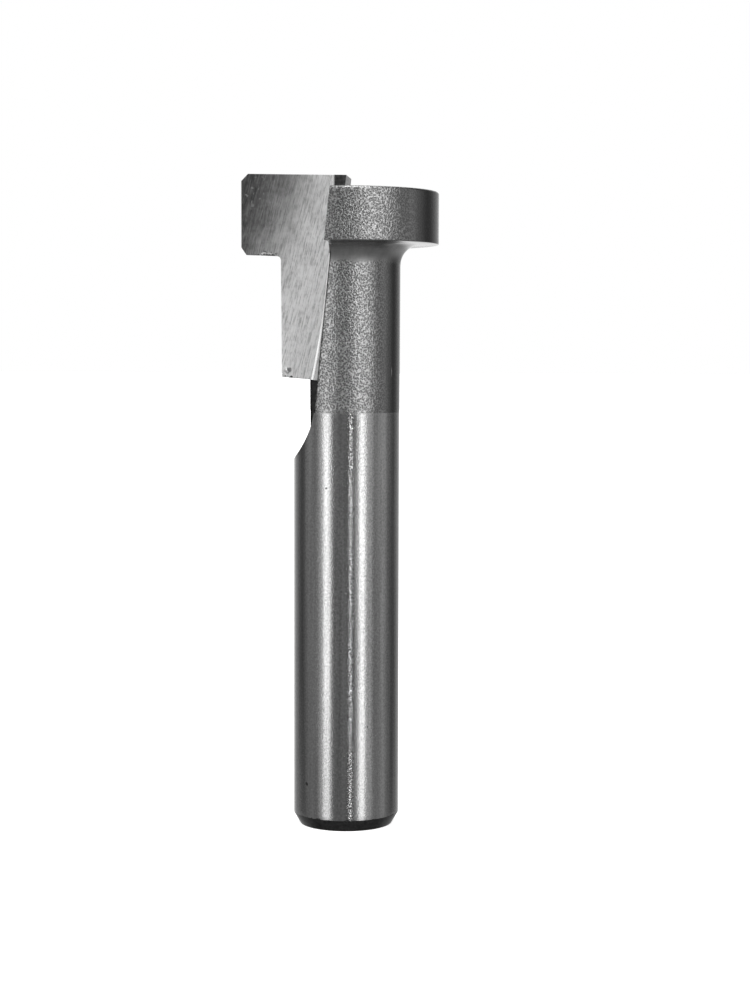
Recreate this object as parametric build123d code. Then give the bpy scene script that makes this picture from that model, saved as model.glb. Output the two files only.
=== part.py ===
from build123d import *
import os
from math import atan2, cos, degrees, radians, sin, sqrt, tan

# Single-flute T-slot router bit: a turned steel body with one carbide plate brazed into a milled pocket.
# Millimetres and degrees. +Z runs up the axis from the shank end to the head, and the origin is the
# centre of the shank end. The plate's cutting face lies in the XZ plane through the axis and faces -Y,
# with its cutting edge towards -X. Seen from the shank end, the bit turns clockwise.

# Turned body
shank_diameter = 6.35
shank_length = 25.0
end_chamfer_width = 0.40
end_chamfer_height = 0.70
neck_foot_diameter = 6.38
neck_top_diameter = 6.43
neck_length = 9.9
head_diameter = 11.0
head_thickness = 3.1
under_head_fillet = 1.2
head_top_edge_radius = 0.15

# Pocket for the plate, milled square to the cutting face with the side of an end mill
wall_slant = 6.2
wall_offset_at_head_top = 0.06
end_mill_diameter = 10.0
runout_below_plate = 1.7

# Carbide plate
cutting_diameter = 12.9
neck_cutting_diameter = 8.05
plate_thickness = 1.77
plate_length = 12.04
plate_rise_over_head = 1.04
flange_height = 4.85
top_corner_width = 0.42
top_corner_height = 0.43
low_corner_width = 0.30
low_corner_height = 0.445
inside_corner_radius = 0.25
top_dish = 1.3
underside_dish = 2.3
neck_back_taper = 0.53
plate_end_slope = 5.0

# Clearance ground behind each cutting edge
top_relief = 3.0
rim_relief = 12.0
underside_relief = 4.0
neck_relief = 16.0

# The cutting face is ground with the flat of a wheel that stops short of the pocket's wall
unground_rise = 0.08
unground_width_at_top = 0.66
wheel_diameter = 120.0
wheel_corner_radius = 0.25

# Braze
braze_gap = 0.08
braze_corner_leg = 0.80
braze_wetting_angle = 12.0

# Sizes that follow
shank_radius = shank_diameter / 2
neck_foot_radius = neck_foot_diameter / 2
neck_top_radius = neck_top_diameter / 2
head_radius = head_diameter / 2
cutting_radius = cutting_diameter / 2
neck_cutting_radius = neck_cutting_diameter / 2
head_underside = shank_length + neck_length
head_top = head_underside + head_thickness
tip_top = head_top + plate_rise_over_head
plate_end = tip_top - plate_length
runout_start = plate_end - runout_below_plate
seat_depth = plate_thickness + braze_gap
beyond = cutting_diameter


def corner_nearest(sketch, across, up):
    """The corner of a sketch that is nearest to a point of its plane."""
    return sketch.vertices().sort_by_distance((across, up))[0]


def turned_blank():
    """Shank, neck and head, revolved from one half profile."""
    with BuildPart() as blank:
        with BuildSketch(Plane.XZ) as half:
            with BuildLine():
                Polyline(
                    (0, 0),
                    (shank_radius - end_chamfer_width, 0),
                    (shank_radius, end_chamfer_height),
                    (shank_radius, shank_length),
                    (neck_foot_radius, shank_length),
                    (neck_top_radius, head_underside),
                    (head_radius, head_underside),
                    (head_radius, head_top),
                    (0, head_top),
                    close=True,
                )
            make_face()
            fillet(corner_nearest(half, neck_top_radius, head_underside), under_head_fillet)
            fillet(corner_nearest(half, head_radius, head_top), head_top_edge_radius)
        revolve(axis=Axis.Z)
    return blank.part


def wall_x(height):
    """Where the pocket's slanted wall stands at a height."""
    return -wall_offset_at_head_top - (head_top - height) * tan(radians(wall_slant))


def pocket():
    """What the end mill clears: the left of the slanted wall, down to its round run-out."""
    slant = radians(wall_slant)
    down_the_wall = (-sin(slant), -cos(slant))
    top = tip_top + beyond
    with BuildPart() as cleared:
        with BuildSketch(Plane.XZ.offset(-seat_depth)):
            with BuildLine():
                wall = Line((wall_x(top), top), (wall_x(runout_start), runout_start))
                runout = JernArc(wall @ 1, down_the_wall, end_mill_diameter / 2, wall_slant - 90)
                Polyline(runout @ 1, (runout @ 1) - (beyond, 0), (wall_x(top) - 2 * beyond, top), wall @ 0)
            make_face()
        extrude(amount=seat_depth + beyond)
    return cleared.part


def steel_body():
    """The turned blank with its pocket."""
    return turned_blank() - pocket()


def top_edge_height(reach):
    """Height of the plate's top edge at a distance from the axis."""
    return tip_top + reach * tan(radians(top_dish))


def underside_height(reach):
    """Height of the flange's lower edge at a distance from the axis."""
    at_rim = top_edge_height(cutting_radius) - flange_height
    return at_rim - (cutting_radius - reach) * tan(radians(underside_dish))


def plate_edges(wall_gap):
    """The plate's edges seen from the front, anticlockwise from the wall: a point, heading and relief."""
    rim_top = (-cutting_radius, top_edge_height(cutting_radius) - top_corner_height)
    rim_low = (-cutting_radius, underside_height(cutting_radius) + low_corner_height)
    neck_top = (-neck_cutting_radius, underside_height(neck_cutting_radius))
    taper_in = (neck_top[1] - plate_end) * tan(radians(neck_back_taper))
    neck_low = (taper_in - neck_cutting_radius, plate_end)
    beside_wall = (wall_x(head_top) - wall_gap / cos(radians(wall_slant)), head_top)
    top_corner_slope = degrees(atan2(top_corner_height, top_corner_width))
    low_corner_slope = degrees(atan2(low_corner_height, low_corner_width))
    return [
        (beside_wall, 90 - wall_slant, 0),
        ((0, tip_top), 180 - top_dish, top_relief),
        (rim_top, 180 + top_corner_slope, rim_relief),
        (rim_top, 270, rim_relief),
        (rim_low, 360 - low_corner_slope, rim_relief),
        (neck_top, 360 - underside_dish, underside_relief),
        (neck_top, 270 + neck_back_taper, neck_relief),
        (neck_low, 360 - plate_end_slope, 0),
    ]


def crossing(first, second):
    """Where two lines cross, each given by a point and a heading in degrees."""
    (x1, z1), heading1 = first
    (x2, z2), heading2 = second
    u1, w1 = cos(radians(heading1)), sin(radians(heading1))
    u2, w2 = cos(radians(heading2)), sin(radians(heading2))
    along = ((x2 - x1) * w2 - (z2 - z1) * u2) / (u1 * w2 - w1 * u2)
    return (x1 + along * u1, z1 + along * w1)


def plate_corners(back, wall_gap=braze_gap):
    """Corners of the plate at a depth behind its cutting face, with each edge drawn in by its relief."""
    lines = []
    for (x, z), heading, relief in plate_edges(wall_gap):
        inward = back * tan(radians(relief))
        turn = radians(heading)
        lines.append(((x - inward * sin(turn), z + inward * cos(turn)), heading))
    return [crossing(lines[i - 1], lines[i]) for i in range(len(lines))]


def plate_section(back, wall_gap=braze_gap):
    """The flat section of the plate at a depth behind its cutting face."""
    with BuildSketch(Plane.XZ.offset(-back)) as section:
        with BuildLine():
            Polyline(*plate_corners(back, wall_gap), close=True)
        make_face()
    return section.sketch


def grinding_wheel():
    """The wheel on the cutting face, its flat in the XZ plane and its corner worn round."""
    radius = wheel_diameter / 2
    with BuildPart() as wheel:
        with BuildSketch(Plane.XZ):
            with Locations((-unground_width_at_top - radius, tip_top)):
                Circle(radius)
        extrude(amount=beyond)
        fillet(wheel.edges().sort_by(Axis.Y)[-1], wheel_corner_radius)
    return wheel.part


def carbide_tip():
    """The relieved T-shaped plate, its cutting face ground down beside an unground strip."""
    front = plate_section(-unground_rise)
    rear = plate_section(plate_thickness)
    blank = loft([front.face(), rear.face()], ruled=True)
    inside_corner = (-neck_cutting_radius, plate_thickness / 2, underside_height(neck_cutting_radius))
    blank = fillet(blank.edges().sort_by_distance(inside_corner)[0], inside_corner_radius)
    return blank - grinding_wheel()


def corner_bead():
    """The hollow-faced bead of braze in the corner between the plate's front and the wall."""
    slant = radians(wall_slant)
    foot_x, foot_z = plate_corners(0, wall_gap=0)[0]
    foot = Plane(
        origin=(foot_x, -unground_rise, foot_z),
        x_dir=(-cos(slant), 0, sin(slant)),
        z_dir=(sin(slant), 0, cos(slant)),
    )
    leg = braze_corner_leg
    hollow = leg / sqrt(2) * tan(radians((45 - braze_wetting_angle) / 2))
    with BuildPart() as bead:
        with BuildSketch(foot):
            with BuildLine():
                Polyline((0, leg), (0, 0), (leg, 0))
                SagittaArc((leg, 0), (0, leg), hollow)
            make_face()
        extrude(amount=plate_length)
    return bead.part


def braze_layer():
    """The braze behind the plate, beside it and along its front corner, where steel backs it."""
    wetted = plate_section(plate_thickness, wall_gap=0)
    covered = plate_section(plate_thickness)
    behind = extrude(wetted, amount=-braze_gap)
    beside = extrude(wetted - covered, amount=plate_thickness + unground_rise)
    film = behind + beside + corner_bead()
    return (film & turned_blank()) - grinding_wheel()


os.makedirs("parts", exist_ok=True)
export_step(steel_body(), "parts/steel_body.step")
export_step(carbide_tip(), "parts/carbide_tip.step")
export_step(braze_layer(), "parts/braze_layer.step")
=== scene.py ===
import random
from collections import namedtuple
from math import acos, asin, cos, degrees, pi, radians, sin, sqrt, tan

import bmesh
import bpy
from mathutils import Matrix, Vector, noise


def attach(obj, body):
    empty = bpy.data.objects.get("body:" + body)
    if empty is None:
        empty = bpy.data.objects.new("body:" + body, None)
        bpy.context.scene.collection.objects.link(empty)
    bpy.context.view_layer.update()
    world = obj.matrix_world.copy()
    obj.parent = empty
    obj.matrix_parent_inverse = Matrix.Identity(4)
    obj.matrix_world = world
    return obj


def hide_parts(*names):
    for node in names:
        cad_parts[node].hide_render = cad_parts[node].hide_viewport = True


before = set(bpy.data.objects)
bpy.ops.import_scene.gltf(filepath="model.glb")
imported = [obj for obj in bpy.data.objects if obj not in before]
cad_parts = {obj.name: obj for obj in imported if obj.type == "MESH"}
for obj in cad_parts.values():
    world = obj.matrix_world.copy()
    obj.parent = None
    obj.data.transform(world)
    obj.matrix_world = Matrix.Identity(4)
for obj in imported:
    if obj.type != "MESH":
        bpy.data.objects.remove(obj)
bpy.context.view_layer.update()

# Looks of a single-flute T-slot router bit. Lengths in this script are millimetres in the part's own frame,
# and MM turns them into metres for meshes, the camera and bumps. Angles are degrees.
MM = 0.001
TOUCH = 1e-5

# Turned body
SHANK_RADIUS = 3.175
SHANK_LENGTH = 25.0
END_CHAMFER = (0.40, 0.70)
NECK_FOOT_RADIUS = 3.19
NECK_TOP_RADIUS = 3.215
NECK_LENGTH = 9.9
HEAD_RADIUS = 5.5
HEAD_THICKNESS = 3.1
UNDER_HEAD_FILLET = 1.2
HEAD_TOP_EDGE = 0.15

# Carbide plate
CUTTING_RADIUS = 6.45
NECK_CUTTING_RADIUS = 4.025
PLATE_THICKNESS = 1.77
PLATE_LENGTH = 12.04
PLATE_RISE_OVER_HEAD = 1.04
FLANGE_HEIGHT = 4.85
TOP_CORNER = (0.42, 0.43)
LOW_CORNER = (0.30, 0.445)
INSIDE_CORNER_RADIUS = 0.25
TOP_DISH = 1.3
UNDERSIDE_DISH = 2.3
NECK_BACK_TAPER = 0.53
PLATE_END_SLOPE = 5.0
TOP_RELIEF = 3.0
RIM_RELIEF = 12.0
UNDERSIDE_RELIEF = 4.0
NECK_RELIEF = 16.0
UNGROUND_RISE = 0.08
UNGROUND_WIDTH_AT_TOP = 0.66
WHEEL_RADIUS = 60.0
WHEEL_CORNER = 0.25

# Pocket
WALL_SLANT = 6.2
WALL_OFFSET_AT_HEAD_TOP = 0.06
END_MILL_RADIUS = 5.0
RUNOUT_BELOW_PLATE = 1.7
BRAZE_GAP = 0.08

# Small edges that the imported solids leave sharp
END_EDGE = 0.05
HEAD_LOW_EDGE = 0.05
STEP_BLEND = 0.08
POCKET_LIP_EDGE = 0.16
HEAD_LIP_EDGE = 0.012

# Sizes that follow
HEAD_UNDERSIDE = SHANK_LENGTH + NECK_LENGTH
HEAD_TOP = HEAD_UNDERSIDE + HEAD_THICKNESS
TIP_TOP = HEAD_TOP + PLATE_RISE_OVER_HEAD
PLATE_END = TIP_TOP - PLATE_LENGTH
RUNOUT_START = PLATE_END - RUNOUT_BELOW_PLATE
SEAT_DEPTH = PLATE_THICKNESS + BRAZE_GAP

# How finely the meshes are divided, and up to which angle they are shaded smooth
ARC_POINTS = 256
WHEEL_POINTS = 720
BODY_SHADING = 30
PLATE_SHADING = 25
CUTTER_SHADING = 20

# Camera, from the photograph's own perspective
CAMERA_PLACE = (21.149, -122.540, 28.333)
CAMERA_HEADING = 9.0
CAMERA_PITCH_DOWN = 4.010
CAMERA_ROLL = 0.1415
CAMERA_LENS = 74.43
CAMERA_AZIMUTH = 9.8


# Small helpers for lines and arcs

def unit(angle):
    """The direction at an angle in degrees."""
    return Vector((cos(radians(angle)), sin(radians(angle))))


def crossing(first, second):
    """Where two lines cross, each given by a point and a heading in degrees."""
    (start, heading), (other, other_heading) = first, second
    along, across = unit(heading), unit(other_heading)
    turn = along.x * across.y - along.y * across.x
    gap = other - start
    return start + along * ((gap.x * across.y - gap.y * across.x) / turn)


def rounded_corner(before, corner, after, radius, steps):
    """Points of the arc that rounds one corner of a path."""
    back = (before - corner).normalized()
    ahead = (after - corner).normalized()
    half = back.angle(ahead) / 2
    start = corner + back * (radius / tan(half))
    end = corner + ahead * (radius / tan(half))
    centre = corner + (back + ahead).normalized() * (radius / sin(half))
    sweep = (start - centre).angle_signed(end - centre)
    points = []
    for step in range(steps + 1):
        spoke = (start - centre).copy()
        spoke.rotate(Matrix.Rotation(-sweep * step / steps, 2))
        points.append(centre + spoke)
    return points


def points_between(first, last, steps):
    """Evenly spaced points after the first and up to the last."""
    return [first.lerp(last, step / steps) for step in range(1, steps + 1)]


# Meshes

def mesh_object(name, vertices, faces, zones, materials):
    """A mesh object from points in millimetres, with one material for each zone number."""
    mesh = bpy.data.meshes.new(name)
    mesh.from_pydata([Vector(point) * MM for point in vertices], [], faces)
    for material in materials:
        mesh.materials.append(material)
    mesh.polygons.foreach_set("material_index", zones)
    mesh.update()
    piece = bpy.data.objects.new(name, mesh)
    bpy.context.collection.objects.link(piece)
    return piece


def shade_smooth(mesh, shading_angle):
    """Shade a mesh smooth across edges up to an angle."""
    mesh.polygons.foreach_set("use_smooth", [True] * len(mesh.polygons))
    mesh.set_sharp_from_angle(angle=radians(shading_angle))


def settle(piece, shading_angle):
    """Join doubled vertices, turn all faces outward and shade smooth up to an angle."""
    work = bmesh.new()
    work.from_mesh(piece.data)
    bmesh.ops.remove_doubles(work, verts=work.verts, dist=1e-7)
    bmesh.ops.recalc_face_normals(work, faces=work.faces)
    work.to_mesh(piece.data)
    work.free()
    shade_smooth(piece.data, shading_angle)


def baked(piece):
    """Replace a piece's mesh by its evaluated one and drop its modifiers."""
    shown = piece.evaluated_get(bpy.context.evaluated_depsgraph_get())
    result = bpy.data.meshes.new_from_object(shown)
    piece.modifiers.clear()
    piece.data = result


def without_repeats(corners):
    """A face's corners with each vertex only once."""
    return list(dict.fromkeys(corners))


# Turned body

GROUND, BLASTED, END_CUT, POCKET_FACE, HEAD_FACE = range(5)

# One ring of the body: its vertex numbers, height and zone, and whether the pocket cuts it open
Ring = namedtuple("Ring", "numbers height zone is_cut")

# The gap between the shank's rings, the rings close above the run-out's lower end, and how far round the
# cut, as a multiple of its own half width, the points of a ring move to make room for it
SHANK_RING_GAP = 0.6
CUSP_RINGS = (0, 0.04, 0.12, 0.22, 0.34, 0.46)
SQUEEZED_REACH = 1.5


def wall_x(height):
    """Where the pocket's slanted wall stands at a height."""
    return -WALL_OFFSET_AT_HEAD_TOP - (HEAD_TOP - height) * tan(radians(WALL_SLANT))


def runout_centre():
    """Centre of the end mill where it leaves the wall and turns out of the shank."""
    across = wall_x(RUNOUT_START) - END_MILL_RADIUS * cos(radians(WALL_SLANT))
    return Vector((across, RUNOUT_START + END_MILL_RADIUS * sin(radians(WALL_SLANT))))


def runout_height(across):
    """Height of the round run-out at a place across."""
    centre = runout_centre()
    return centre.y - sqrt(END_MILL_RADIUS ** 2 - (across - centre.x) ** 2)


def cut_x(height):
    """Where the pocket stops at a height, in the slanted part and in the round run-out."""
    if height >= RUNOUT_START:
        return wall_x(height)
    centre = runout_centre()
    return centre.x + sqrt(END_MILL_RADIUS ** 2 - (centre.y - height) ** 2)


def cusp_height():
    """Height where the run-out leaves the side of the shank."""
    return runout_height(-SHANK_RADIUS)


def floor_low_end():
    """Height where the run-out meets the lower end of the pocket's flat floor."""
    return runout_height(-sqrt(SHANK_RADIUS ** 2 - SEAT_DEPTH ** 2))


def shank_profile():
    """Points of the ground shank, from over its end chamfer to under the neck."""
    heights = []
    height = END_CHAMFER[1] + 0.3
    while height < cusp_height() - 0.2:
        heights.append(height)
        height += SHANK_RING_GAP
    heights += [cusp_height() + rise for rise in CUSP_RINGS]
    heights.append(floor_low_end())
    points = [Vector((SHANK_RADIUS, height)) for height in heights]
    top = Vector((SHANK_RADIUS, SHANK_LENGTH - STEP_BLEND))
    return points + points_between(points[-1], top, 16)


def turned_profile():
    """Half profile of the body from the shank end up: a point and a zone for each ring."""
    width, height = END_CHAMFER
    end = Vector((SHANK_RADIUS - width, 0))
    chamfer_top = Vector((SHANK_RADIUS, height))
    shank_top = Vector((SHANK_RADIUS, SHANK_LENGTH))
    neck_foot = Vector((NECK_FOOT_RADIUS, SHANK_LENGTH))
    neck_top = Vector((NECK_TOP_RADIUS, HEAD_UNDERSIDE))
    rim_low = Vector((HEAD_RADIUS, HEAD_UNDERSIDE))
    rim_top = Vector((HEAD_RADIUS, HEAD_TOP))

    chamfer = rounded_corner(Vector((0, 0)), end, chamfer_top, END_EDGE, 3)
    chamfer += rounded_corner(end, chamfer_top, shank_top, END_EDGE, 2)
    fillet = rounded_corner(neck_foot, neck_top, rim_low, UNDER_HEAD_FILLET, 16)
    low_edge = rounded_corner(neck_top, rim_low, rim_top, HEAD_LOW_EDGE, 3)
    top_edge = rounded_corner(rim_low, rim_top, Vector((0, HEAD_TOP)), HEAD_TOP_EDGE, 6)

    above_runout = neck_foot.lerp(neck_top, (RUNOUT_START - SHANK_LENGTH) / NECK_LENGTH)
    neck = [neck_foot + Vector((0, STEP_BLEND)), neck_foot.lerp(neck_top, 0.2 / NECK_LENGTH), above_runout]
    neck += points_between(above_runout, fillet[0], 24)
    head = low_edge + points_between(low_edge[-1], top_edge[0], 12)
    blasted = neck + fillet[1:] + head + top_edge[1:]
    zones = ((chamfer, END_CUT), (shank_profile(), GROUND), (blasted, BLASTED))
    return [(point, zone) for points, zone in zones for point in points]


def squeezed(turn, cut):
    """A turn counted from the middle of a cut, moved out of it if it is in it or near it."""
    if turn < SQUEEZED_REACH * cut:
        return cut + turn * (1 - 1 / SQUEEZED_REACH)
    return turn


def ring_points(radius, height):
    """One ring of the body, open where the pocket cuts it, from its front lip round to its back lip."""
    start = end = 0.0
    if height > cusp_height() + TOUCH:
        across = cut_x(height)
        start = acos(min(1, -across / radius))
        end = min(start, asin(min(1, SEAT_DEPTH / radius)))
    points = []
    for step in range(ARC_POINTS + 1):
        turn = squeezed(2 * pi * step / ARC_POINTS, start)
        turn = 2 * pi - squeezed(2 * pi - turn, end)
        points.append((-radius * cos(turn), -radius * sin(turn), height))
    return points, start > 0


def add_rings(vertices):
    """Add the vertices of the body's rings, and return the rings."""
    rings = []
    for point, zone in turned_profile():
        places, is_cut = ring_points(point.x, point.y)
        if not is_cut:
            places = places[:-1]
        numbers = list(range(len(vertices), len(vertices) + len(places)))
        if not is_cut:
            numbers.append(numbers[0])
        vertices += places
        rings.append(Ring(numbers, point.y, zone, is_cut))
    return rings


def skin_faces(rings):
    """Faces with their zones between each ring and the next, and the flat end of the shank."""
    faces = []
    for low, high in zip(rings, rings[1:]):
        for step in range(ARC_POINTS):
            corners = low.numbers[step:step + 2] + high.numbers[step:step + 2][::-1]
            faces.append((without_repeats(corners), high.zone))
    faces.append((rings[0].numbers[:-1][::-1], END_CUT))
    return faces


def pocket_faces(rings, vertices):
    """Faces with their zones in the pocket, and the head's top, which the pocket cuts open."""
    cut_rings = [ring for ring in rings if ring.is_cut]
    cusp = rings[len(rings) - len(cut_rings) - 1].numbers[0]
    faces = []
    last_front, last_back = cusp, cusp
    floor_outside, floor_inside, wall_front = [], [], []
    for ring in cut_rings:
        front, back = ring.numbers[0], ring.numbers[-1]
        corner = back
        beside_floor = ring.height >= floor_low_end() - TOUCH
        in_runout = ring.height <= RUNOUT_START + TOUCH
        if in_runout and ring.height > floor_low_end() + TOUCH:
            corner = len(vertices)
            vertices.append((cut_x(ring.height), SEAT_DEPTH, ring.height))
        if in_runout:
            faces.append((without_repeats([last_front, front, corner, last_back]), POCKET_FACE))
            last_front, last_back = front, corner
        if in_runout and beside_floor:
            floor_inside.append(corner)
        if beside_floor:
            floor_outside.append(back)
        if ring.height >= RUNOUT_START - TOUCH:
            wall_front.append(front)
    top_corner = len(vertices)
    vertices.append((wall_x(HEAD_TOP), SEAT_DEPTH, HEAD_TOP))
    faces.append((wall_front + [top_corner, floor_inside[-1]], POCKET_FACE))
    faces.append((without_repeats(floor_outside + [top_corner] + floor_inside[::-1]), POCKET_FACE))
    faces.append((rings[-1].numbers + [top_corner], HEAD_FACE))
    return faces


def turned_body(materials):
    """The steel body as rings that stop at the pocket, with the pocket's own faces between their ends."""
    vertices = []
    rings = add_rings(vertices)
    faces = skin_faces(rings) + pocket_faces(rings, vertices)
    corners, zones = zip(*faces)
    piece = mesh_object("turned_body", vertices, corners, zones, materials)
    settle(piece, BODY_SHADING)
    ease_pocket_lips(piece)
    turn_normals_true(piece)
    return piece


def is_pocket_lip(edge, low, high):
    """Whether an edge is a sharp one between the pocket and the outside, between two heights."""
    zones = {face.material_index for face in edge.link_faces}
    heights = [vertex.co.z / MM for vertex in edge.verts]
    at_pocket = POCKET_FACE in zones and len(zones) == 2
    is_sharp = edge.calc_face_angle(0) > radians(BODY_SHADING)
    return at_pocket and is_sharp and min(heights) > low and max(heights) < high


def ease_pocket_lips(piece):
    """Take the sharp corner off the pocket's outer edges: widest along the neck, where the bevel takes the
    pocket's dark grey as a painted shadow line.
    """
    in_head = HEAD_UNDERSIDE - UNDER_HEAD_FILLET / 2
    for low, high, width, zone in (
        # Along the neck the bevel is a painted shadow line in the pocket's dark grey
        (cusp_height() + 0.3, in_head, POCKET_LIP_EDGE, POCKET_FACE),
        (in_head, TIP_TOP, HEAD_LIP_EDGE, BLASTED),
    ):
        work = bmesh.new()
        work.from_mesh(piece.data)
        lips = [edge for edge in work.edges if is_pocket_lip(edge, low, high)]
        bmesh.ops.bevel(
            work, geom=lips, offset=width * MM, offset_type="OFFSET", segments=2, profile=0.5,
            affect="EDGES", clamp_overlap=False, material=zone,
        )
        work.to_mesh(piece.data)
        work.free()
    shade_smooth(piece.data, BODY_SHADING)


def turn_normals_true(piece):
    """Shade the turned faces as true rounds: no corner normal leans round the axis."""
    mesh = piece.data
    normals = [Vector(corner.vector) for corner in mesh.corner_normals]
    for face in mesh.polygons:
        if face.material_index in (POCKET_FACE, HEAD_FACE):
            continue
        for corner in face.loop_indices:
            place = mesh.vertices[mesh.loops[corner].vertex_index].co
            round_axis = Vector((-place.y, place.x, 0)).normalized()
            normal = normals[corner]
            normals[corner] = (normal - round_axis * normal.dot(round_axis)).normalized()
    mesh.normals_split_custom_set(normals)


# Carbide plate

GROUND_FACE, UNGROUND_FACE, INNER_FACE, WHEEL_STEP = range(4)

# The wheel's step is shaded as rubbed nearly flat: how far towards that, and turned how far outward
RUBBED_SHARE = 0.7
RUBBED_TURN = 11.5

# Chips in the flange's lower edge: where they are, as shares of the way in from its outer corner, their
# sizes, and the gaps between them, in its ragged part and in the rest
CHIPPED_PART = (0.02, 0.97)
RAGGED_PART = (0.30, 0.92)
RAGGED_SIZES, RAGGED_GAPS = (0.06, 0.14), (0.04, 0.09)
FINE_SIZES, FINE_GAPS = (0.03, 0.05), (0.06, 0.12)
END_CHIP_X = -3.3
END_CHIP_SIZE = (0.11, 0.10, 0.07)


def top_edge_height(reach):
    """Height of the plate's top edge at a distance from the axis."""
    return TIP_TOP + reach * tan(radians(TOP_DISH))


def underside_height(reach):
    """Height of the flange's lower edge at a distance from the axis."""
    at_rim = top_edge_height(CUTTING_RADIUS) - FLANGE_HEIGHT
    return at_rim - (CUTTING_RADIUS - reach) * tan(radians(UNDERSIDE_DISH))


def plate_edges():
    """The plate's edges seen from the front, anticlockwise from the wall: a point, heading and relief."""
    rim_top = Vector((-CUTTING_RADIUS, top_edge_height(CUTTING_RADIUS) - TOP_CORNER[1]))
    rim_low = Vector((-CUTTING_RADIUS, underside_height(CUTTING_RADIUS) + LOW_CORNER[1]))
    neck_top = Vector((-NECK_CUTTING_RADIUS, underside_height(NECK_CUTTING_RADIUS)))
    taper_in = (neck_top.y - PLATE_END) * tan(radians(NECK_BACK_TAPER))
    neck_low = Vector((taper_in - NECK_CUTTING_RADIUS, PLATE_END))
    wall = Vector((wall_x(HEAD_TOP) - BRAZE_GAP / cos(radians(WALL_SLANT)), HEAD_TOP))
    top_slope = degrees(Vector(TOP_CORNER).angle(Vector((1, 0))))
    low_slope = degrees(Vector(LOW_CORNER).angle(Vector((1, 0))))
    return [
        (wall, 90 - WALL_SLANT, 0),
        (Vector((0, TIP_TOP)), 180 - TOP_DISH, TOP_RELIEF),
        (rim_top, 180 + top_slope, RIM_RELIEF),
        (rim_top, 270, RIM_RELIEF),
        (rim_low, 360 - low_slope, RIM_RELIEF),
        (neck_top, 360 - UNDERSIDE_DISH, UNDERSIDE_RELIEF),
        (neck_top, 270 + NECK_BACK_TAPER, NECK_RELIEF),
        (neck_low, 360 - PLATE_END_SLOPE, 0),
    ]


def plate_corners(back):
    """The plate's corners at a depth behind its cutting face, with each edge drawn in by its relief."""
    lines = []
    for point, heading, relief in plate_edges():
        inward = back * tan(radians(relief))
        lines.append((point + inward * unit(heading + 90), heading))
    return [crossing(lines[i - 1], lines[i]) for i in range(len(lines))]


def plate_outline(back):
    """The plate's outline at a depth behind its cutting face, with its inside corner rounded."""
    corners = plate_corners(back)
    inside = 6
    before, corner, after = corners[inside - 1:inside + 2]
    arc = rounded_corner(before, corner, after, INSIDE_CORNER_RADIUS, 8)
    return corners[:inside] + arc + corners[inside + 1:]


def prism(name, front_y, rear_y):
    """The plate's own shape between two depths, as a closed solid."""
    front, rear = plate_outline(front_y), plate_outline(rear_y)
    count = len(front)
    vertices = [(point.x, front_y, point.y) for point in front]
    vertices += [(point.x, rear_y, point.y) for point in rear]
    faces = [list(range(count)), list(range(count, 2 * count))[::-1]]
    for i in range(count):
        j = (i + 1) % count
        faces.append([i, j, j + count, i + count])
    piece = mesh_object(name, vertices, faces, [0] * len(faces), [])
    settle(piece, CUTTER_SHADING)
    return piece


def wheel():
    """The grinding wheel as a cutter: flat on the XZ plane, round at its corner."""
    flat_radius = WHEEL_RADIUS - WHEEL_CORNER
    profile = []
    for angle in range(0, 91, 15):
        corner = unit(angle) * WHEEL_CORNER
        profile.append((flat_radius + corner.y, corner.x - WHEEL_CORNER))
    profile.append((WHEEL_RADIUS, -CUTTING_RADIUS))
    centre_x = -UNGROUND_WIDTH_AT_TOP - WHEEL_RADIUS
    vertices, faces = [], []
    for radius, depth in profile:
        for step in range(WHEEL_POINTS):
            turn = 2 * pi * step / WHEEL_POINTS
            vertices.append((centre_x + radius * cos(turn), depth, TIP_TOP + radius * sin(turn)))
    for row in range(len(profile) - 1):
        low, high = row * WHEEL_POINTS, (row + 1) * WHEEL_POINTS
        for step in range(WHEEL_POINTS):
            after = (step + 1) % WHEEL_POINTS
            faces.append([low + step, low + after, high + after, high + step])
    faces.append(list(range(WHEEL_POINTS)))
    faces.append(list(range(len(vertices) - WHEEL_POINTS, len(vertices)))[::-1])
    piece = mesh_object("wheel", vertices, faces, [0] * len(faces), [])
    settle(piece, CUTTER_SHADING)
    return piece


def chip(place, size, seed):
    """A small rough lump that breaks one chip out of an edge."""
    work = bmesh.new()
    bmesh.ops.create_icosphere(work, subdivisions=2, radius=1)
    for vertex in work.verts:
        bump = 1 + 0.35 * noise.noise(vertex.co * 1.3 + Vector((seed, 0, 0)))
        vertex.co = Vector([place[i] + vertex.co[i] * bump * size[i] for i in range(3)]) * MM
    mesh = bpy.data.meshes.new("chip")
    work.to_mesh(mesh)
    work.free()
    piece = bpy.data.objects.new("chip", mesh)
    bpy.context.collection.objects.link(piece)
    return piece


def edge_chips():
    """Chips along the flange's ragged lower edge and one in the plate's lower end."""
    draws = random.Random(7)
    outline = plate_outline(0)
    outer, inner = outline[5], outline[6]
    chips = []
    along, last = CHIPPED_PART
    while along < last:
        place = outer.lerp(inner, along)
        is_ragged = RAGGED_PART[0] < along < RAGGED_PART[1]
        size = draws.uniform(*(RAGGED_SIZES if is_ragged else FINE_SIZES))
        sink = size * draws.uniform(-0.1, 0.3)
        chips.append(chip((place.x, 0.0, place.y - sink), (size * 1.6, size * 0.9, size), len(chips)))
        along += draws.uniform(*(RAGGED_GAPS if is_ragged else FINE_GAPS))
    end = crossing((outline[-1], 180 - PLATE_END_SLOPE), (Vector((END_CHIP_X, 0)), 90))
    chips.append(chip((end.x, 0.0, end.y - 0.02), END_CHIP_SIZE, 31))
    return chips


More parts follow.
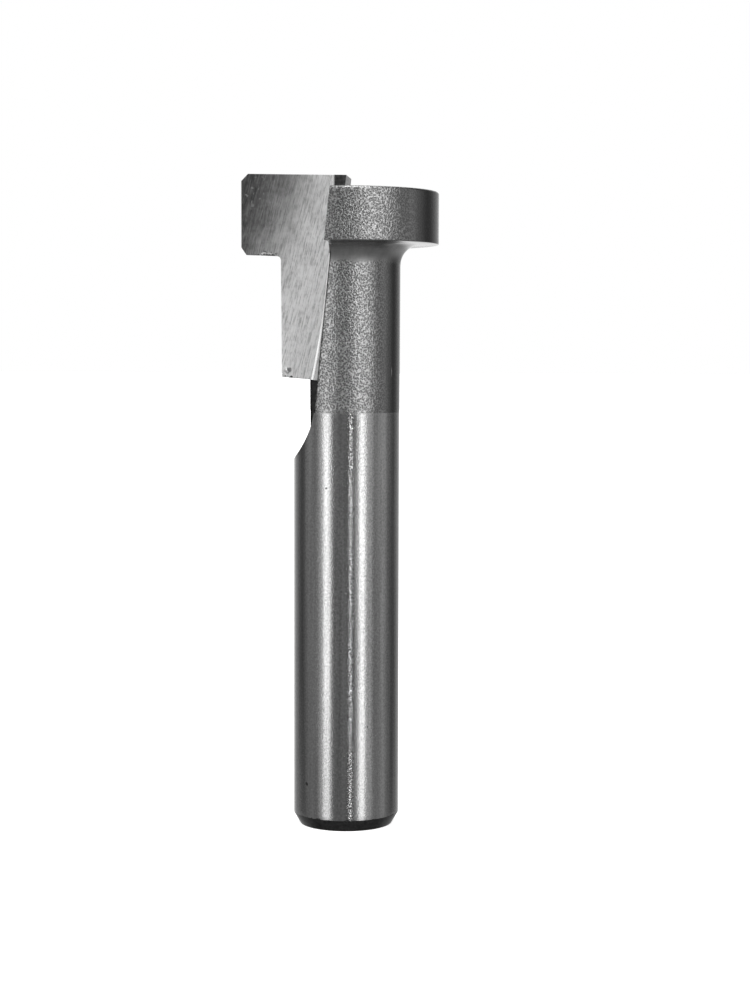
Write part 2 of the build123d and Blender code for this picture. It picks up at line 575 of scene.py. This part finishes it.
def carve(piece, cutters):
    """Cut each cutter out of a piece, then delete the cutters."""
    for cutter in cutters:
        modifier = piece.modifiers.new("cut", "BOOLEAN")
        modifier.operation = "DIFFERENCE"
        modifier.solver = "EXACT"
        modifier.object = cutter
    baked(piece)
    for cutter in cutters:
        bpy.data.objects.remove(cutter)


def plate_zone(face):
    """Which of the plate's surfaces a face belongs to, by its depth and by the way it faces."""
    depth = face.center.y / MM
    if face.normal.y < -0.99 and depth < -0.9 * UNGROUND_RISE:
        return UNGROUND_FACE
    if face.normal.x > 0.9:
        return INNER_FACE
    if depth < -0.001 and face.normal.x < -0.05 and face.normal.y < -0.5:
        return WHEEL_STEP
    return GROUND_FACE


def cutting_plate(materials):
    """The relieved T-shaped plate, its cutting face ground beside an unground strip, its edges chipped."""
    piece = prism("cutting_plate", -UNGROUND_RISE, PLATE_THICKNESS)
    carve(piece, [wheel()] + edge_chips())
    piece.data.materials.clear()
    for material in materials:
        piece.data.materials.append(material)
    settle(piece, PLATE_SHADING)
    for face in piece.data.polygons:
        face.material_index = plate_zone(face)
    rub_wheel_step(piece.data)
    return piece


def rub_wheel_step(mesh):
    """Shade the wheel's hollow as rubbed nearly flat, facing forward and a little outward."""
    rubbed = Vector((-sin(radians(RUBBED_TURN)), -cos(radians(RUBBED_TURN)), 0))
    normals = [Vector(corner.vector) for corner in mesh.corner_normals]
    for face in mesh.polygons:
        if face.material_index == WHEEL_STEP:
            for corner in face.loop_indices:
                normals[corner] = normals[corner].lerp(rubbed, RUBBED_SHARE).normalized()
    mesh.normals_split_custom_set(normals)


# Node trees

def add(tree, kind, inputs=None, **settings):
    """A new node with its settings, and its inputs set to values or linked to sockets."""
    made = tree.nodes.new(kind)
    for name, value in settings.items():
        setattr(made, name, value)
    for name, value in (inputs or {}).items():
        if isinstance(value, bpy.types.NodeSocket):
            tree.links.new(value, made.inputs[name])
        else:
            made.inputs[name].default_value = value
    return made


def maths(tree, operation, first, second=0.0, third=0.0):
    """One Math node's result."""
    return add(tree, "ShaderNodeMath", {0: first, 1: second, 2: third}, operation=operation).outputs[0]


def times(tree, product, *factors):
    """The product of some values."""
    for factor in factors:
        product = maths(tree, "MULTIPLY", product, factor)
    return product


def plus(tree, base, value, share=1.0):
    """A base with a share of a value on top of it."""
    return maths(tree, "MULTIPLY_ADD", value, share, base)


def rest(tree, value):
    """What a value leaves of one."""
    return maths(tree, "SUBTRACT", 1.0, value)


def off(tree, angle, middle):
    """How far an angle in radians is from another in degrees, the short way round."""
    turned = maths(tree, "SUBTRACT", angle, radians(middle))
    return maths(tree, "ABSOLUTE", maths(tree, "WRAP", turned, pi, -pi))


def fade(tree, value, low, high, to_low=0.0, to_high=1.0):
    """A smooth step of a value between two limits."""
    inputs = {"Value": value, "From Min": low, "From Max": high, "To Min": to_low, "To Max": to_high}
    return add(tree, "ShaderNodeMapRange", inputs, interpolation_type="SMOOTHSTEP").outputs["Result"]


def angle_fade(tree, angle, low, high, to_low=0.0, to_high=1.0):
    """A smooth step of an angle between two limits in degrees."""
    return fade(tree, angle, radians(low), radians(high), to_low, to_high)


def vectors(tree, operation, first, second=(0, 0, 0)):
    """One Vector Math node's outputs."""
    return add(tree, "ShaderNodeVectorMath", {0: first, 1: second}, operation=operation).outputs


def scaled(tree, vector, factor):
    """A vector or a colour times a factor."""
    return add(tree, "ShaderNodeVectorMath", {0: vector, "Scale": factor}, operation="SCALE").outputs[0]


def parted(tree, vector):
    """A vector's X, Y and Z."""
    return add(tree, "ShaderNodeSeparateXYZ", {0: vector}).outputs


def turn_about_axis(tree, sides):
    """The angle about the axis, in radians: zero towards -Y and rising towards +X."""
    return maths(tree, "ARCTAN2", sides["X"], times(tree, sides["Y"], -1.0))


def grain(tree, place, scale, detail=2.0, roughness=0.5, stretch=(1, 1, 1), turn=(0, 0, 0)):
    """Noise in the part's frame. The scale is features for each millimetre."""
    size = tuple(share * scale for share in stretch)
    angles = tuple(radians(angle) for angle in turn)
    turned = add(tree, "ShaderNodeMapping", {"Vector": place, "Rotation": angles}).outputs[0]
    sized = add(tree, "ShaderNodeMapping", {"Vector": turned, "Scale": size}).outputs[0]
    inputs = {"Vector": sized, "Scale": 1.0, "Detail": detail, "Roughness": roughness}
    return add(tree, "ShaderNodeTexNoise", inputs).outputs["Fac"]


def spot(tree, place, centre, inner, outer, squash=1.0):
    """One at a point, falling to zero over a small distance. A squash below one draws it out upwards."""
    offset = vectors(tree, "SUBTRACT", place, centre)[0]
    offset = vectors(tree, "MULTIPLY", offset, (1, 1, squash))[0]
    return fade(tree, vectors(tree, "LENGTH", offset)["Value"], outer, inner)


def as_colour(value):
    """A colour as it is, or a number as a grey."""
    return value if isinstance(value, bpy.types.NodeSocket) else (value, value, value, 1)


def mixed(tree, share, first, second):
    """A colour that turns from the first into the second, each a colour or the number of a grey."""
    inputs = {0: share, 6: as_colour(first), 7: as_colour(second)}
    return add(tree, "ShaderNodeMix", inputs, data_type="RGBA").outputs[2]


def tone(tree, factor, stops):
    """A grey ramp through pairs of place and brightness."""
    ramp = add(tree, "ShaderNodeValToRGB", {"Fac": factor})
    elements = ramp.color_ramp.elements
    while len(elements) < len(stops):
        elements.new(0.5)
    for element, (place, grey) in zip(elements, stops):
        element.position = place
        element.color = as_colour(grey)
    return ramp.outputs["Color"]


def bumped(tree, height, depth, strength=1.0):
    """A normal bumped by a height, which stands for a depth in millimetres."""
    inputs = {"Height": height, "Distance": depth * MM, "Strength": strength}
    return add(tree, "ShaderNodeBump", inputs).outputs[0]


def new_material(name):
    """An empty material, its tree and the part's own coordinates in millimetres."""
    material = bpy.data.materials.new(name)
    material.use_nodes = True
    tree = material.node_tree
    tree.nodes.clear()
    place = scaled(tree, add(tree, "ShaderNodeTexCoord").outputs["Object"], 1 / MM)
    return material, tree, place


def surface(tree, shader):
    """Make a shader the material's surface."""
    add(tree, "ShaderNodeOutputMaterial", {"Surface": shader.outputs[0]})


def metal(tree, colour, roughness, normal=None, metallic=1.0):
    """Make the material's surface a metal of a colour and a roughness, and with a bumped normal if given."""
    inputs = {"Base Color": colour, "Roughness": roughness, "Metallic": metallic}
    if normal is not None:
        inputs["Normal"] = normal
    surface(tree, add(tree, "ShaderNodeBsdfPrincipled", inputs))


# Sandblasted steel of the neck and head

NECK_SCRATCH = (2.93, -1.30, 27.35)

# The side towards +X, where the blasting is thin: its middle, where it starts to thin out and where it has
# gone, and how far patches move that
THIN_SIDE = 88
THIN_EDGE = (34, 64)
THIN_PATCHES = 16

# Painted shade on the head's left and on its rim: where it ends in front, and where it starts round the back
SHADE_FRONT = (-14, 10)
RIM_SHADE_FRONT = (-5, 20)
SHADE_BACK = (-175, -115)


def blasted_net(tree, place):
    """The fine bright net that blasting leaves, as a height about one half."""
    cells = add(tree, "ShaderNodeTexVoronoi", {"Vector": place, "Scale": 9.5}).outputs["Distance"]
    net = maths(tree, "MULTIPLY_ADD", cells, 0.56, 0.09)
    return plus(tree, net, grain(tree, place, 14.0, detail=0.0), 0.25)


def head_corner(tree, height, patches):
    """The plain corner under the head, with a ragged lower end."""
    ragged = plus(tree, height, patches, 0.5)
    above = fade(tree, ragged, HEAD_UNDERSIDE - 1.05, HEAD_UNDERSIDE - 0.75)
    below = fade(tree, height, HEAD_UNDERSIDE + 0.02, HEAD_UNDERSIDE + 0.06, 1.0, 0.0)
    return times(tree, above, below)


def thin_blasting(tree, height, turn, patches):
    """The plainer side of the neck and head, which stops at the head's top."""
    ragged = plus(tree, off(tree, turn, THIN_SIDE), patches, radians(THIN_PATCHES))
    thin = angle_fade(tree, ragged, *THIN_EDGE, 0.8, 0.0)
    return times(tree, thin, fade(tree, height, HEAD_TOP - 0.1, HEAD_TOP, 1.0, 0.0))


def shade_on_left(tree, turn, left, right, front):
    """Painted shade with one value on the head's left and another on its right."""
    round_the_back = angle_fade(tree, turn, *SHADE_BACK, right, left)
    return angle_fade(tree, turn, *front, round_the_back, right)


def seam_shadow(tree, sides):
    """The dark line beside the pocket's wall, in front and below the head."""
    from_wall = plus(tree, sides["X"], sides["Z"], -tan(radians(WALL_SLANT)))
    dark = fade(tree, from_wall, wall_x(0) + 0.05, wall_x(0) + 0.14, 0.85, 0.0)
    below_head = fade(tree, sides["Z"], HEAD_UNDERSIDE - 0.7, HEAD_UNDERSIDE - 0.3, 1.0, 0.0)
    return times(tree, dark, below_head, maths(tree, "LESS_THAN", sides["Y"], 0.0))


def head_light(tree, place, lit):
    """The painted light of the blasted steel, with painted shade on the head's left and along its top edge.
    """
    sides = parted(tree, place)
    turn = turn_about_axis(tree, sides)
    reach = vectors(tree, "LENGTH", vectors(tree, "MULTIPLY", place, (1, 1, 0))[0])["Value"]
    outside = fade(tree, reach, HEAD_RADIUS - 0.2, HEAD_RADIUS - 0.1)
    on_head = fade(tree, sides["Z"], HEAD_UNDERSIDE, HEAD_UNDERSIDE + 0.05)
    # Painted shade on the head's left and round its back
    darker = times(tree, shade_on_left(tree, turn, 0.37, 0.05, SHADE_FRONT), on_head, outside)
    on_rim = fade(tree, sides["Z"], HEAD_TOP - 0.16, HEAD_TOP - 0.08)
    # Painted shade along the head's top edge, which damps its highlight
    rim = times(tree, shade_on_left(tree, turn, 0.70, 0.20, RIM_SHADE_FRONT), on_rim, outside)
    return times(tree, maths(tree, "SUBTRACT", lit, darker), rest(tree, rim))


def blasted_steel():
    """Sandblasted steel: a fine bright net, plainer on the +X side, none in the corner under the head, and
    painted light and shade in its colour.
    """
    material, tree, place = new_material("blasted_steel")
    sides = parted(tree, place)
    height = sides["Z"]
    net = blasted_net(tree, place)
    patches = grain(tree, place, 1.0)
    corner = head_corner(tree, height, patches)
    thin = thin_blasting(tree, height, turn_about_axis(tree, sides), patches)
    foot = fade(tree, height, SHANK_LENGTH + 0.02, SHANK_LENGTH + 0.22, 0.5, 0.0)
    smooth = maths(tree, "MAXIMUM", maths(tree, "MAXIMUM", corner, foot), thin)
    lathe = grain(tree, place, 3.0, stretch=(1, 1, 0.04))
    pitted = tone(tree, net, [(0.38, 0.23), (0.5, 0.41), (0.62, 0.72)])
    colour = mixed(tree, smooth, pitted, tone(tree, lathe, [(0.3, 0.38), (0.7, 0.46)]))

    under = fade(tree, height, HEAD_UNDERSIDE - 0.4, HEAD_UNDERSIDE - 0.1)
    matte = times(tree, corner, rest(tree, under))
    rough = fade(tree, smooth, 0.0, 1.0, 0.30, 0.23)
    rough = plus(tree, rough, thin, -0.15)
    rough = plus(tree, rough, matte, 0.2)

    # Painted light and shade in the corner under the head: lighter where X is below 2 mm, darker where it is
    # over 3.1 mm, and slightly lighter where it is matte
    corner_light_by_side = fade(tree, sides["X"], 2.0, 3.1, 0.2, -0.25)
    lit = plus(tree, 1.0, times(tree, corner, under), corner_light_by_side)
    lit = plus(tree, lit, matte, 0.02)
    # Painted shade on the thinly blasted +X side
    lit = plus(tree, lit, times(tree, thin, rest(tree, corner)), -0.24)
    lit = times(tree, head_light(tree, place, lit), rest(tree, seam_shadow(tree, sides)))
    scratch = spot(tree, place, NECK_SCRATCH, 0.02, 0.08, squash=0.2)
    colour = mixed(tree, scratch, scaled(tree, colour, lit), 1.0)
    strength = maths(tree, "MULTIPLY_ADD", smooth, -0.95, 1.0)
    metal(tree, colour, rough, bumped(tree, net, 0.03, strength))
    return material


# Ground steel of the shank

# Pits in the shank: place, size and grey
SHANK_PITS = (
    ((-1.97, -2.49, 2.75), 0.16, 0.12),
    ((-0.67, -3.10, 20.5), 0.07, 0.25),
    ((1.75, -2.65, 6.3), 0.06, 0.30),
)

# Painted glints along the shank's reflected highlight line: where they are round the axis, how far each way
# they are full and where they have gone, and their contrast
GLINT_LINE_TURN = 14.4
GLINT_LINE_EDGE = (1.2, 5.0)
GLINT_CONTRAST = 2.4

# Greys at the shank's lower and upper end, against the middle tone, and where they are reached: darker
# towards the lower end
LOWER_TO_UPPER_GREYS = (0.84, 1.03)
LOWER_TO_UPPER_HEIGHTS = (2.0, 24.0)


def dark_ragged_end(tree, place, height):
    """The shank's dark lower end, with a ragged upper side."""
    ragged = plus(tree, height, grain(tree, place, 2.5, detail=3.0), -0.55)
    return fade(tree, ragged, END_CHAMFER[1] - 0.32, END_CHAMFER[1] - 0.26, 1.0, 0.0)


def ground_steel():
    """Centreless-ground shank: streaks, a sparkling grain, painted glints along its highlight line, pits, a
    tone that darkens towards the lower end and a dark ragged band there.
    """
    material, tree, place = new_material("ground_steel")
    sides = parted(tree, place)
    height = sides["Z"]
    sparkle = grain(tree, place, 8.0, detail=1.5, roughness=0.6)
    streaks = grain(tree, place, 2.2, detail=3.0, roughness=0.6, stretch=(1, 1, 0.03))
    shade = plus(tree, times(tree, streaks, 0.55), sparkle, 0.45)
    colour = tone(tree, shade, [(0.36, 0.43), (0.5, 0.55), (0.64, 0.67)])

    off_glint_line = off(tree, turn_about_axis(tree, sides), GLINT_LINE_TURN)
    glint_line = angle_fade(tree, off_glint_line, *GLINT_LINE_EDGE, GLINT_CONTRAST, 0.0)
    # Painted glints: dots that darken and brighten the colour along the highlight line
    glint_dots = maths(tree, "SUBTRACT", grain(tree, place, 10.0, detail=1.0), 0.5)
    lit = fade(tree, height, *LOWER_TO_UPPER_HEIGHTS, *LOWER_TO_UPPER_GREYS)
    lit = plus(tree, lit, times(tree, glint_dots, glint_line), lit)
    colour = scaled(tree, colour, lit)

    relief = grain(tree, place, 14.0, detail=1.0)
    for centre, size, grey in SHANK_PITS:
        pit = spot(tree, place, centre, size * 0.3, size)
        colour = mixed(tree, pit, colour, grey)
        relief = plus(tree, relief, pit, -3.0)
    colour = mixed(tree, dark_ragged_end(tree, place, height), colour, 0.10)

    broad = grain(tree, place, 0.5, stretch=(1, 1, 0.2))
    rough = fade(tree, broad, 0.3, 0.7, 0.085, 0.115)
    rough = plus(tree, rough, fade(tree, height, SHANK_LENGTH - 0.25, SHANK_LENGTH, 0.0, 0.18))
    rough = plus(tree, rough, glint_line, -0.02)
    metal(tree, colour, rough, bumped(tree, relief, 0.005))
    return material


# Ground carbide of the plate's cutting face and edges

PLATE_BURR = (-3.68, 0.0, 27.36)
PORES_PLACE = (-5.7, 0.0, 38.1)

# Marks on the cutting face: place, size and grey. The first is painted shade on the burr's upper right
# flank.
PLATE_SPOTS_AND_BURR_SHADE = (
    ((-3.50, 0.0, 27.46), 0.17, 0.28),
    ((-3.82, 0.0, 27.03), 0.10, 0.20),
    ((-3.40, 0.0, 26.98), 0.16, 0.04),
    ((-4.15, 0.0, 37.10), 0.09, 0.28),
)

# The darker area grows outwards, and upwards by this share of that. It starts and is full at two places,
# each given by its distance from the axis and its height.
DARK_AREA_RISE = 0.45
DARK_AREA_START = (1.7, 36.0)
DARK_AREA_FULL = (6.7, 39.0)

# Where the crumbled band along the flange's lower edge fades in and out again
CRUMBLED_FROM = (-5.6, -5.2)
CRUMBLED_TO = (-4.4, -4.1)


def wheel_scratches(tree, place):
    """Fine and coarse scratches that slant as the wheel ran."""
    hair = grain(tree, place, 15.0, roughness=0.6, stretch=(1, 1, 0.07), turn=(0, -13, 0))
    streak = grain(tree, place, 5.0, detail=3.0, roughness=0.65, stretch=(1, 1, 0.14), turn=(0, -17, 0))
    return plus(tree, times(tree, hair, 0.6), streak, 0.4)


def darker_corner(tree, sides, cloud):
    """The darker area towards the flange's outer top corner, with a clouded edge."""
    outward = plus(tree, times(tree, sides["X"], -1.0), sides["Z"], DARK_AREA_RISE)
    start, full = (reach + DARK_AREA_RISE * height for reach, height in (DARK_AREA_START, DARK_AREA_FULL))
    return fade(tree, plus(tree, outward, cloud, 2.2), start, full)


def crumbled_band(tree, sides, mottle):
    """The ragged band of crumbs that keeps just above the flange's lower edge."""
    dish = tan(radians(UNDERSIDE_DISH))
    edge = underside_height(0)
    level = plus(tree, sides["Z"], sides["X"], dish)
    ragged = fade(tree, plus(tree, level, mottle, 0.9), edge + 0.55, edge + 0.69, 1.0, 0.0)
    low = fade(tree, level, edge + 0.3, edge + 0.4, 1.0, 0.0)
    start = fade(tree, sides["X"], *CRUMBLED_FROM)
    return times(tree, ragged, low, start, fade(tree, sides["X"], *CRUMBLED_TO, 1.0, 0.0))


def shaken(tree, place):
    """The part's coordinates moved about a little, so that a spot has a ragged edge."""
    moves = add(tree, "ShaderNodeTexNoise", {"Vector": place, "Scale": 4.0, "Detail": 1.0}).outputs["Color"]
    moved = vectors(tree, "ADD", place, scaled(tree, moves, 0.35))[0]
    return vectors(tree, "SUBTRACT", moved, (0.17, 0.17, 0.17))[0]


def ground_carbide():
    """Ground carbide: slanting scratches, and a dark, pored area at the flange's outer corner."""
    material, tree, place = new_material("ground_carbide")
    sides = parted(tree, place)
    mottle = grain(tree, place, 3.0, detail=3.0, roughness=0.65)
    cloud = grain(tree, place, 0.7, detail=4.0, roughness=0.6)
    shade = plus(tree, times(tree, wheel_scratches(tree, place), 0.75), mottle, 0.25)
    darker = darker_corner(tree, sides, cloud)
    bright = tone(tree, shade, [(0.41, 0.58), (0.5, 0.90), (0.56, 1.0)])
    dark = tone(tree, shade, [(0.41, 0.05), (0.5, 0.09), (0.59, 0.16)])
    colour = mixed(tree, darker, bright, dark)

    pores = fade(tree, grain(tree, place, 3.2, detail=1.5), 0.60, 0.70)
    pores = times(tree, pores, darker, spot(tree, place, PORES_PLACE, 0.5, 1.6))
    colour = mixed(tree, pores, colour, 0.27)
    crumbs = tone(tree, grain(tree, place, 6.0), [(0.42, 0.12), (0.5, 0.45), (0.60, 0.95)])
    colour = mixed(tree, crumbled_band(tree, sides, mottle), colour, crumbs)
    ragged_place = shaken(tree, place)
    # Dark marks, and painted shade beside the burr
    for centre, size, grey in PLATE_SPOTS_AND_BURR_SHADE:
        colour = mixed(tree, spot(tree, ragged_place, centre, size * 0.5, size), colour, grey)

    rough = fade(tree, cloud, 0.3, 0.7, 0.60, 0.68)
    relief = plus(tree, shade, spot(tree, ragged_place, PLATE_BURR, 0.03, 0.17), 6.0)
    metal(tree, colour, rough, bumped(tree, relief, 0.018), metallic=0.5)
    return material


# Other materials

def grained_metal(name, scale, greys, roughness, strength, stretch=(1, 1, 1)):
    """A metal with one grain between two greys, slightly bumped."""
    material, tree, place = new_material(name)
    marks = grain(tree, place, scale, detail=3.0, stretch=stretch)
    colour = tone(tree, marks, [(0.3, greys[0]), (0.7, greys[1])])
    metal(tree, colour, roughness, bumped(tree, marks, 0.01, strength))
    return material


def shaded_end_steel():
    """The turned chamfer and face of the shank end, their steel darkened with painted shade."""
    return grained_metal("shank_end_steel", 6.0, (0.06, 0.12), 0.3, 0.5)


def pocket_and_lip_shadow_steel():
    """Milled faces of the pocket, a very dark grey, which also colours the painted shadow line on the neck's
    pocket lips.
    """
    return grained_metal("pocket_and_lip_shadow_steel", 4.0, (0.02, 0.05), 0.4, 0.4, stretch=(0.3, 1, 1))


def inner_carbide():
    """The plate's inner end face, pressed and sintered, a plain light grey."""
    return grained_metal("inner_carbide", 5.0, (0.68, 0.98), 0.45, 0.4)


def burnished_carbide():
    """The bright hollow that the wheel's corner leaves beside the unground strip, darker higher up."""
    material, tree, place = new_material("burnished_carbide")
    marks = grain(tree, place, 6.0, stretch=(1, 1, 0.2))
    colour = tone(tree, marks, [(0.3, 0.70), (0.7, 0.86)])
    lit = fade(tree, parted(tree, place)["Z"], PLATE_END + 1.7, PLATE_END + 4.0, 1.0, 0.66)
    metal(tree, scaled(tree, colour, lit), fade(tree, marks, 0.3, 0.7, 0.22, 0.28))
    return material


def sintered_carbide():
    """The plate's unground skin: dark above the head, silvered by the braze below it."""
    material, tree, place = new_material("sintered_carbide")
    spots = grain(tree, place, 6.0, detail=3.0)
    silvered = fade(tree, parted(tree, place)["Z"], HEAD_TOP - 1.5, HEAD_TOP - 0.5, 1.0, 0.0)
    dark = tone(tree, spots, [(0.3, 0.05), (0.7, 0.11)])
    silver = tone(tree, spots, [(0.3, 0.72), (0.7, 0.90)])
    metal(tree, mixed(tree, silvered, dark, silver), 0.5, bumped(tree, spots, 0.01, 0.3))
    return material


def braze_silver():
    """Silver braze, cast smooth with a faint grain."""
    material, tree, place = new_material("braze_silver")
    spots = grain(tree, place, 3.0, detail=3.0)
    colour = tone(tree, spots, [(0.3, 0.88), (0.7, 1.0)])
    rough = fade(tree, spots, 0.3, 0.7, 0.42, 0.55)
    metal(tree, colour, rough, bumped(tree, spots, 0.01, 0.4))
    return material


# Studio

# Soft boxes round the object, from its own level upwards: azimuth from the camera's side, half width, soft
# edge, strength, and the share of it that is left high above the horizon
SOFTBOXES = (
    (-82.0, 12.0, 20.0, 0.05, 1.0),
    (-54.0, 5.0, 13.0, 0.32, 0.5),
    (-42.5, 8.0, 6.0, 1.5, 0.5),
    (9.0, 0.15, 0.2, 10.0, 1.0),
    (34.5, 6.8, 4.5, 1.3, 0.9),
    (38.5, 19.0, 6.0, 0.36, 1.0),
    (76.0, 16.0, 20.0, 0.08, 1.0),
    (88.0, 8.0, 5.0, 0.09, 1.0),
)

# The azimuths that count as straight in front run from the camera's to this many degrees right of it
FRONT_WIDTH = 9
KEY_AZIMUTH = -20

# What the camera sees of the world, and the floor
BACKDROP = 1.0
FLOOR_REACH = 3000.0
FLOOR_GREY = 0.9
FLOOR_GLOW = 0.8


def surrounding_light(tree, aside, lift, not_below):
    """The faint light all round, and more of it behind the object, both from its level up and low down."""
    faint = angle_fade(tree, aside, 93, 110, 0.18, 0.08)
    faint = times(tree, faint, angle_fade(tree, lift, -60, -30, 1.10, 1.0))
    behind = angle_fade(tree, aside, 112, 158, 0.0, 0.36)
    behind = plus(tree, behind, angle_fade(tree, aside, 146, 166, 0.0, 0.5))
    low = angle_fade(tree, aside, 90, 120, 0.0, 0.24)
    low = times(tree, low, angle_fade(tree, lift, -54, -38), angle_fade(tree, lift, -22, -8, 1.0, 0.0))
    return plus(tree, plus(tree, faint, behind, not_below), low)


def softbox(tree, turn, lift, box):
    """The light of one soft box."""
    azimuth, half, soft, strength, high_share = box
    away = maths(tree, "ABSOLUTE", maths(tree, "SUBTRACT", turn, radians(azimuth)))
    light = angle_fade(tree, away, half + soft, max(0.1, half - soft), 0.0, strength)
    return times(tree, light, angle_fade(tree, lift, 0, 14, 1.0, high_share))


def high_light(tree, turn, lift):
    """The key light above the camera's left and the light overhead."""
    away = maths(tree, "ABSOLUTE", maths(tree, "SUBTRACT", turn, radians(KEY_AZIMUTH)))
    key = times(tree, angle_fade(tree, away, 60, 30, 0.0, 2.9), angle_fade(tree, lift, 32, 50))
    return plus(tree, key, angle_fade(tree, lift, 50, 70, 0.0, 0.7))


def studio_light():
    """A world that is white to the camera and a ring of lights to the object."""
    world = bpy.data.worlds.new("studio")
    bpy.context.scene.world = world
    world.use_nodes = True
    tree = world.node_tree
    tree.nodes.clear()
    sides = parted(tree, add(tree, "ShaderNodeTexCoord").outputs["Generated"])
    turn = maths(tree, "SUBTRACT", turn_about_axis(tree, sides), radians(CAMERA_AZIMUTH))
    turn = maths(tree, "WRAP", turn, pi, -pi)
    past_front = maths(tree, "SUBTRACT", turn, radians(FRONT_WIDTH))
    aside = maths(tree, "MAXIMUM", past_front, times(tree, turn, -1.0))
    lift = maths(tree, "ARCSINE", sides["Z"])

    not_below = angle_fade(tree, lift, -36, -6)
    light = surrounding_light(tree, aside, lift, not_below)
    for box in SOFTBOXES:
        light = plus(tree, light, softbox(tree, turn, lift, box), not_below)
    light = plus(tree, light, high_light(tree, turn, lift))
    seen = add(tree, "ShaderNodeLightPath").outputs["Is Camera Ray"]
    strength = add(tree, "ShaderNodeMix", {0: seen, 2: light, 3: BACKDROP}, data_type="FLOAT").outputs[0]
    shown = add(tree, "ShaderNodeBackground", {"Color": as_colour(1), "Strength": strength})
    add(tree, "ShaderNodeOutputWorld", {"Surface": shown.outputs[0]})


def studio_floor():
    """A wide white floor under the object, out of its reflections."""
    reach = FLOOR_REACH
    corners = [(-reach, -reach, 0), (reach, -reach, 0), (reach, reach, 0), (-reach, reach, 0)]
    material, tree, _ = new_material("studio_white")
    spread = add(tree, "ShaderNodeBsdfDiffuse", {"Color": as_colour(FLOOR_GREY)})
    glow = add(tree, "ShaderNodeEmission", {"Color": as_colour(1), "Strength": FLOOR_GLOW})
    surface(tree, add(tree, "ShaderNodeAddShader", {0: spread.outputs[0], 1: glow.outputs[0]}))
    floor = mesh_object("studio_floor", corners, [[0, 1, 2, 3]], [0], [material])
    floor.visible_glossy = False
    floor.visible_diffuse = False
    floor.visible_shadow = False


def camera():
    """The photograph's viewpoint."""
    data = bpy.data.cameras.new("camera")
    data.lens = CAMERA_LENS
    data.sensor_width = 36.0
    data.clip_start = 0.01
    data.clip_end = 100.0
    placed = bpy.data.objects.new("camera", data)
    bpy.context.collection.objects.link(placed)
    turn = Matrix.Rotation(radians(CAMERA_HEADING), 4, "Z")
    pitch = Matrix.Rotation(radians(90 - CAMERA_PITCH_DOWN), 4, "X")
    roll = Matrix.Rotation(radians(CAMERA_ROLL), 4, "Z")
    placed.matrix_world = Matrix.Translation(Vector(CAMERA_PLACE) * MM) @ turn @ pitch @ roll
    bpy.context.scene.camera = placed


camera()
studio_light()
studio_floor()
bpy.context.scene.view_settings.view_transform = "Standard"
bpy.context.scene.cycles.use_denoising = True

blasted = blasted_steel()
body = turned_body([ground_steel(), blasted, shaded_end_steel(), pocket_and_lip_shadow_steel(), blasted])
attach(body, "root")
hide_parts("steel_body")

plate = cutting_plate([ground_carbide(), sintered_carbide(), inner_carbide(), burnished_carbide()])
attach(plate, "root")
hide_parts("carbide_tip")

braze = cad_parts["braze_layer"]
braze.data.materials.clear()
braze.data.materials.append(braze_silver())
